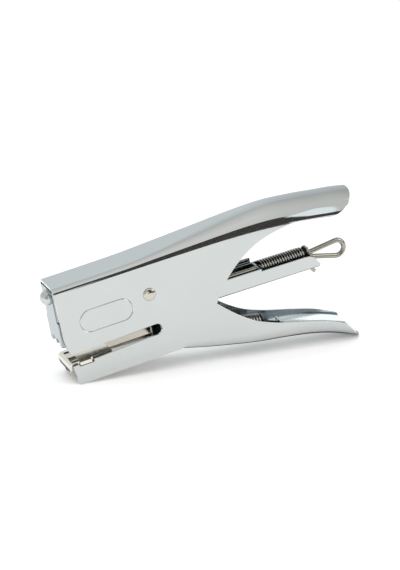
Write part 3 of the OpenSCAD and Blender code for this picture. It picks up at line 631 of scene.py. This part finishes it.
# %% Domed heads
def dome(middle, radius, outwards, cut_at):
    """The cap of a ball: its middle in mm, the way it faces, and how far out it is cut."""
    bpy.ops.object.select_all(action="DESELECT")
    turn = Vector((0, 0, 1)).rotation_difference(Vector(outwards)).to_euler()
    bpy.ops.mesh.primitive_uv_sphere_add(segments=64, ring_count=48, radius=radius * MM,
                                         location=Vector(middle) * MM, rotation=turn)
    piece = bpy.context.active_object
    bpy.ops.object.transform_apply(location=True, rotation=True, scale=True)
    bpy.ops.object.mode_set(mode="EDIT")
    bpy.ops.mesh.select_all(action="SELECT")
    plane = (Vector(middle) + Vector(outwards) * cut_at) * MM
    bpy.ops.mesh.bisect(plane_co=plane, plane_no=outwards, use_fill=True, clear_inner=True)
    bpy.ops.object.mode_set(mode="OBJECT")
    return piece


def joined(first, *others):
    """Joins finished shapes into one piece."""
    only(first)
    for other in others:
        other.select_set(True)
    bpy.ops.object.join()
    return first


HEAD_RADIUS, HEAD_HEIGHT = 3.3, 1.3
heads = []
for way in (-1, 1):
    head = dome((0, way * HALF_WIDTH, 0), HEAD_RADIUS, (0, way, 0), 0.0)
    for corner in head.data.vertices:
        r = min(math.hypot(corner.co.x, corner.co.z) / (HEAD_RADIUS * MM), 1.0)
        if abs(corner.co.y) > (HALF_WIDTH + 0.001) * MM:
            corner.co.y = way * (HALF_WIDTH + HEAD_HEIGHT * (1 - r**2.5) ** 0.4) * MM
    heads.append(head)
pivot = joined(*heads, pin_hole(0, 0, 2.3, HALF_WIDTH))
finish_piece(pivot, "pivot_rivet_heads", "body", stand, "pivot_rivet", angle=40)

DOME_RADIUS, DOME_SUNK = 3.9, 0.1
PLATE_FRONT, DOME_Z = -47.0, 9.9
dome_middle = (PLATE_FRONT + DOME_SUNK, 0, DOME_Z)
nose_dome = dome(dome_middle, DOME_RADIUS, (-1, 0, 0), DOME_SUNK)
bpy.ops.mesh.primitive_cylinder_add(vertices=48, radius=1.5 * MM, depth=2.2 * MM,
                                    location=((PLATE_FRONT + 1.0) * MM, 0, DOME_Z * MM),
                                    rotation=(0, math.radians(90), 0))
stud = bpy.context.active_object
bpy.ops.object.transform_apply(location=True, rotation=True, scale=True)
finish_piece(joined(nose_dome, stud), "front_rivet_dome", "magazine", stand_magazine,
             "front_rivet", angle=40)

# %% [markdown]
# ## Wire
#
# The guide rod with its pull loop is one piece of bent wire, and both springs are wound
# from wire. A curve with a round bevel is the natural way to draw wire: its points follow
# the middle of the wire, and converting it to a mesh gives an even tube.

# %% The guide rod and its pull loop
def wire(name, points, diameter, sides):
    """An even tube with this many sides along points in mm, closed at both ends."""
    line = bpy.data.curves.new(name, "CURVE")
    line.dimensions = "3D"
    line.bevel_depth = diameter / 2 * MM
    line.bevel_resolution = sides // 4 - 1
    line.use_fill_caps = True
    spline = line.splines.new("POLY")
    spline.points.add(len(points) - 1)
    for corner, p in zip(spline.points, points):
        corner.co = (*(Vector(p) * MM), 1.0)
    piece = bpy.data.objects.new(name, line)
    bpy.context.collection.objects.link(piece)
    only(piece)
    bpy.ops.object.convert(target="MESH")
    piece = bpy.context.active_object
    bpy.ops.object.mode_set(mode="EDIT")
    bpy.ops.mesh.select_all(action="SELECT")
    bpy.ops.mesh.remove_doubles(threshold=0.001 * MM)
    bpy.ops.mesh.normals_make_consistent(inside=False)
    bpy.ops.object.mode_set(mode="OBJECT")
    return piece


ROD, ROD_Z, ROD_FRONT = 2.6, -8.8, -41.4
SEAT_X, LOOP_X, LOOP_RADIUS = 87.0, 108.1, 3.9
loop = rounded([(ROD_FRONT, ROD_Z), (SEAT_X + 2.8, ROD_Z, 3),
                (LOOP_X, ROD_Z + 2.2, LOOP_RADIUS), (LOOP_X, ROD_Z - 7.6, LOOP_RADIUS),
                (SEAT_X + 3.2, ROD_Z - ROD - 0.1)], 16, closed=False)
rod = wire("rod", [(p.x, 0, p.y) for p in loop], ROD, 32)
finish_piece(rod, "guide_rod_wire", "feed", stand_magazine, "guide_rod", angle=50)

# %% [markdown]
# The follower spring sits round the rod and pushes the staples forward. A coil is wound by
# a formula: the angle goes round while the place along the rod grows evenly. Each point of
# the wire also gets a number that says how far it stands out, and the spring's finish reads
# it to paint a glint on the outer ridge and a dark tone between the coils.

# %% The follower spring round the rod
STEPS_A_TURN = 28


def mark_ridges(piece, radius, thickness, axis_z=0.0):
    """Marks how far each point stands out: 1 on the outer ridge, 0 at the wire's middle."""
    ridge = piece.data.attributes.new("ridge", "FLOAT", "POINT")
    for corner, mark in zip(piece.data.vertices, ridge.data):
        out = math.hypot(corner.co.y, corner.co.z - axis_z * MM) / MM - radius
        mark.value = min(max(out / (thickness / 2), 0.0), 1.0)


FOLLOWER_WIRE, FOLLOWER_RADIUS, FOLLOWER_TURNS = 0.9, 3.35, 17
FOLLOWER_START, FOLLOWER_END = 61.0, SEAT_X - 0.5
run = FOLLOWER_END - FOLLOWER_START - 2 * FOLLOWER_WIRE
steps = FOLLOWER_TURNS * STEPS_A_TURN
coil = []
for i in range(steps + 1):
    a = 2 * math.pi * i / STEPS_A_TURN
    coil.append((FOLLOWER_START + FOLLOWER_WIRE + run * i / steps,
                 FOLLOWER_RADIUS * math.cos(a), ROD_Z + FOLLOWER_RADIUS * math.sin(a)))
follower = wire("follower", coil, FOLLOWER_WIRE, 12)
mark_ridges(follower, FOLLOWER_RADIUS, FOLLOWER_WIRE, ROD_Z)
finish_piece(follower, "follower_spring_wire", "feed", stand_magazine, "follower_spring",
             angle=50)

# %% [markdown]
# The return spring pulls the lever open. It hangs between a hole in the anvil's tongue and
# the bracket on the lever's floor, so it is wound along its own axis and then leaned into
# place. Its first and last turn grow out of the axis, as on a real extension spring, and
# each end turns down or up into a hook.

# %% The return spring with its two hooks
RETURN_WIRE, RETURN_RADIUS, RETURN_TURNS, PITCH = 1.0, 3.5, 22, 1.5
END_TURN, HOOK_BEND, TAIL_DROP, COIL_TO_HOOK = 2.5, 1.2, 1.2, 8.6
front_hook, rear_hook = Vector((8.6, -25.8)), Vector((67.0, -41.7 + TAIL_DROP))
spring_length = (rear_hook - front_hook).length
lean = math.atan2(rear_hook.y - front_hook.y, rear_hook.x - front_hook.x)
coil_length = RETURN_TURNS * PITCH + 2 * END_TURN
coil_end = spring_length - COIL_TO_HOOK
steps = (RETURN_TURNS + 2) * STEPS_A_TURN


def hook(way, along, z):
    """A quarter bend of the wire at one end of the spring."""
    bends = [math.radians(10 * i) for i in range(10)]
    return [(along + way * (1.0 + HOOK_BEND * math.sin(a)), 0,
             z - way * HOOK_BEND * (1 - math.cos(a))) for a in bends]


path = [(-2.2, 0, 2.4)] + hook(-1, 0, 0)[::-1] + [(1.5, 0, 0)]
for i in range(steps + 1):
    open_share = min(1, i / STEPS_A_TURN, (steps - i) / STEPS_A_TURN)
    r = RETURN_RADIUS * (1 - math.cos(math.pi * open_share)) / 2
    if i < STEPS_A_TURN:
        along = END_TURN * i / STEPS_A_TURN
    elif i > steps - STEPS_A_TURN:
        along = coil_length - END_TURN * (steps - i) / STEPS_A_TURN
    else:
        wound = (i - STEPS_A_TURN) / (steps - 2 * STEPS_A_TURN)
        along = END_TURN + (coil_length - 2 * END_TURN) * wound
    a = 2 * math.pi * i / STEPS_A_TURN
    path.append((coil_end - coil_length + along, r * math.cos(a), r * math.sin(a)))
path += [(coil_end + 1.2, 0, -0.2), (spring_length - 1.2, 0, -TAIL_DROP)]
path += hook(1, spring_length, -TAIL_DROP) + [(spring_length + 2.2, 0, -TAIL_DROP - 2.4)]

return_spring = wire("return", path, RETURN_WIRE, 12)
mark_ridges(return_spring, RETURN_RADIUS, RETURN_WIRE)
front_place = Matrix.Translation(Vector((front_hook.x, 0, front_hook.y)) * MM)
spring_place = stand @ front_place @ Matrix.Rotation(-lean, 4, "Y")
finish_piece(return_spring, "return_spring_wire", "lever", spring_place, "return_spring",
             angle=50)

# %% [markdown]
# ## Dressing the pieces
#
# The two folded sheets already have their finishes, because their insides and cut edges
# differ from their outsides. Every other piece has one finish all over. The pieces that
# stay hidden inside keep their construction shape and are dressed as well, since they show
# when the tool is opened.

# %% Give every piece its finish
finish_of = {
    magazine: chrome, bracket: chrome, nose_dome: chrome, plate: satin, pusher: satin,
    anvil: anvil_nickel, pivot: nickel, rod: wire_nickel, seat: wire_nickel,
    follower: spring, return_spring: spring,
}
inner_pieces = {
    nickel: ["driver_blade", "pivot_washers", "nose_pins"],
    dark: ["pivot_bush", "lever_nose", "driver_holder", "rod_collar", "seat_washer"],
}
for finish, nodes in inner_pieces.items():
    for node in nodes:
        finish_of[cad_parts[node]] = finish
for piece, finish in finish_of.items():
    piece.data.materials.clear()
    piece.data.materials.append(finish)
print(len(finish_of), "pieces have their finish")

# %% [markdown]
# ## The floor
#
# The stapler stands on a white sweep of matt board. A little glow of its own lifts the
# board to the clean white of a catalogue picture and keeps the shadow under the tool soft.

# %% Floor
bpy.ops.object.select_all(action="DESELECT")
bpy.ops.mesh.primitive_plane_add(size=6.0, location=(0, 0, 0))
floor = bpy.context.active_object
floor.name = "floor"
floor_paint = bpy.data.materials.new("matt_white_board")
floor_paint.use_nodes = True
board = floor_paint.node_tree.nodes["Principled BSDF"].inputs
board["Base Color"].default_value = hex_colour("#F8F8F8")
board["Roughness"].default_value = 0.9
board["Emission Color"].default_value = hex_colour("#FFFFFF")
board["Emission Strength"].default_value = 0.16
floor.data.materials.append(floor_paint)
print("the board is", round(floor.dimensions.x, 1), "m wide")

# %% [markdown]
# ## The room that chrome shows
#
# Chrome has no colour of its own: it shows the room. In front of the stapler the room is
# warm white, overhead it turns to a pale grey, and behind it is a cool white, which gives
# the roof its bluish tone. The room also grows a fifth darker towards the handles' end, so
# that the handle isn't lost against the white. One large soft light hangs above. It lights
# the board but isn't mirrored, because its outline would cross the roof.

# %% Room and light
world = bpy.data.worlds.new("studio")
world.use_nodes = True
bpy.context.scene.world = world
# The Standard view shows colours as they are set, so white paper stays white.
bpy.context.scene.view_settings.view_transform = "Standard"

direction = add_node(world, "ShaderNodeTexCoord")
split = add_node(world, "ShaderNodeSeparateXYZ", [("Vector", direction, "Generated")])
front_to_back = add_node(world, "ShaderNodeMapRange", [("Value", split, "Y")], From_Min=-1.0)
ramp = add_node(world, "ShaderNodeValToRGB", [("Fac", front_to_back, "Result")])
fall = add_node(world, "ShaderNodeMapRange", [("Value", split, "X")],
                From_Min=0.18, From_Max=0.45, To_Min=1.0, To_Max=0.8)
tone = add_node(world, "ShaderNodeVectorMath",
                [("Vector", ramp, "Color"), ("Scale", fall, "Result")], operation="SCALE")
background = world.node_tree.nodes["Background"]
background.inputs["Strength"].default_value = 1.0
world.node_tree.links.new(tone.outputs["Vector"], background.inputs["Color"])

tones = [(0.0, "#FFFFFD"), (0.2, "#FCFCFA"), (0.5, "#E8E8E5"), (0.66, "#DADCDC"),
         (0.71, "#E4EBEF"), (1.0, "#F2F8FC")]
while len(ramp.color_ramp.elements) < len(tones):
    ramp.color_ramp.elements.new(0.5)
for element, (place, colour) in zip(ramp.color_ramp.elements, tones):
    element.position = place
    element.color = hex_colour(colour)

light = bpy.data.lights.new("top_light", "AREA")
light.shape, light.size, light.size_y, light.energy = "RECTANGLE", 1.6, 1.4, 7.2
top_light = bpy.data.objects.new("top_light", light)
top_light.location = (-0.2, -0.1, 1.1)
aim = Vector((0, 0, 0.04)) - top_light.location
top_light.rotation_euler = aim.to_track_quat("-Z", "Y").to_euler()
top_light.visible_glossy = False
bpy.context.collection.objects.link(top_light)
print("the light hangs", round(top_light.location.z, 2), "m above the board")

# %% [markdown]
# ## Cards in front of the stapler
#
# In an all-white room a chrome shape would vanish. Its form is drawn by dark and grey cards
# that are seen only in reflections: nearly every dark line on the stapler is one of them.
# Most stand upright in front of the stapler, and two lie on the board; the one under the tool is
# a painted shadow.
#
# The flat cheeks must stay light, also when they are looked at level from the side. So
# nothing dark stands close in front of them at their own height. The near card starts above
# them, and the card that reaches down to the board stands further back and to the right,
# where only the rounded fold looks.

# %% Cards seen only in reflections
NEAR, WINDOW, FAR = -0.235, -0.25, -0.6
DARK = "#4C4946"


def card(name, outline, y, colour, glow=0.0):
    """An upright card with this outline (x, z) in metres, seen only in reflections."""
    bpy.ops.object.select_all(action="DESELECT")
    bpy.ops.mesh.primitive_circle_add(vertices=len(outline), fill_type="NGON")
    piece = bpy.context.active_object
    piece.name = name
    for corner, (x, z) in zip(piece.data.vertices, outline):
        corner.co = (x, y, z)
    paper = bpy.data.materials.new(name + "_paper")
    paper.use_nodes = True
    sheet = paper.node_tree.nodes["Principled BSDF"].inputs
    sheet["Base Color"].default_value = hex_colour(colour)
    sheet["Specular IOR Level"].default_value = 0.0
    if glow:
        sheet["Emission Color"].default_value = hex_colour(colour)
        sheet["Emission Strength"].default_value = glow
    piece.data.materials.append(paper)
    piece.visible_camera = piece.visible_diffuse = piece.visible_shadow = False
    return piece


def lay_flat(piece, height):
    """Lays a card on the board: its heights become places from front to back."""
    for corner in piece.data.vertices:
        corner.co = (corner.co.x, corner.co.z, height)


# Painted shadow under the tool: a grey card on the board stands in for the tool's contact shadow,
# and its reflection draws the soft dark line along the lower edges of the jaw and the lever.
contact_shadow_card = card("contact_shadow_card", [(-0.075, -0.004), (0.11, -0.004), (0.11, 0.035),
                                 (-0.075, 0.035)], 0.0, "#848480")
lay_flat(contact_shadow_card, 0.0004)

# Far back: the black line along the fold, and the dark flank of the handle.
card("front_card", [(0.1, 0.001), (0.3, 0.001), (0.3, 0.14), (0.271, 0.24), (0.147, 0.315),
                    (0.078, 0.34), (0.03, 0.42), (0.0, 0.44), (0.0, 0.088), (0.06, 0.088),
                    (0.085, 0.07)], FAR, DARK)

# Near and high: the upper side of the same line, over the nose.
card("fold_card", [(-0.06, 0.083), (0.06, 0.083), (0.06, 0.165), (0.0, 0.17), (-0.03, 0.2),
                   (-0.06, 0.21)], NEAR, DARK)

# On the board: the lower side of the same line, down to the cheek's edge.
table_card = card("table_card", [(-0.02, -0.2), (0.13, -0.2), (0.3, -0.6), (0.09, -0.6),
                                 (0.04, -0.4)], 0.0, DARK)
lay_flat(table_card, 0.0005)

# Near, at the handles' end: the dark shapes on the grips.
card("handle_card", [(0.115, 0.001), (0.2, 0.001), (0.2, 0.1), (0.185, 0.095), (0.177, 0.085),
                     (0.173, 0.055), (0.165, 0.05), (0.15, 0.055), (0.135, 0.1),
                     (0.12, 0.135), (0.115, 0.138)], NEAR, DARK)

# To the right and to the left: middle tones that keep the ends from going white.
card("side_card", [(0.2, 0.001), (0.9, 0.001), (0.9, 0.1), (0.2, 0.1)], NEAR, "#7C868A")
card("end_card", [(-0.45, 0.001), (-0.12, 0.001), (-0.12, 0.5), (-0.45, 0.5)], NEAR, "#B8C0C0")

# Bright windows behind the dark cards: the white bands on the lever and the handle.
card("low_window", [(0.13, 0.04), (0.1755, 0.04), (0.1765, 0.17), (0.171, 0.2),
                    (0.155, 0.165), (0.13, 0.11)], WINDOW, "#F0F4F6", 0.4)
card("side_window", [(0.24, 0.11), (0.9, 0.2), (1.2, 1.2), (0.6, 0.9), (0.25, 0.36)],
     WINDOW, "#F6F7F6", 1.2)
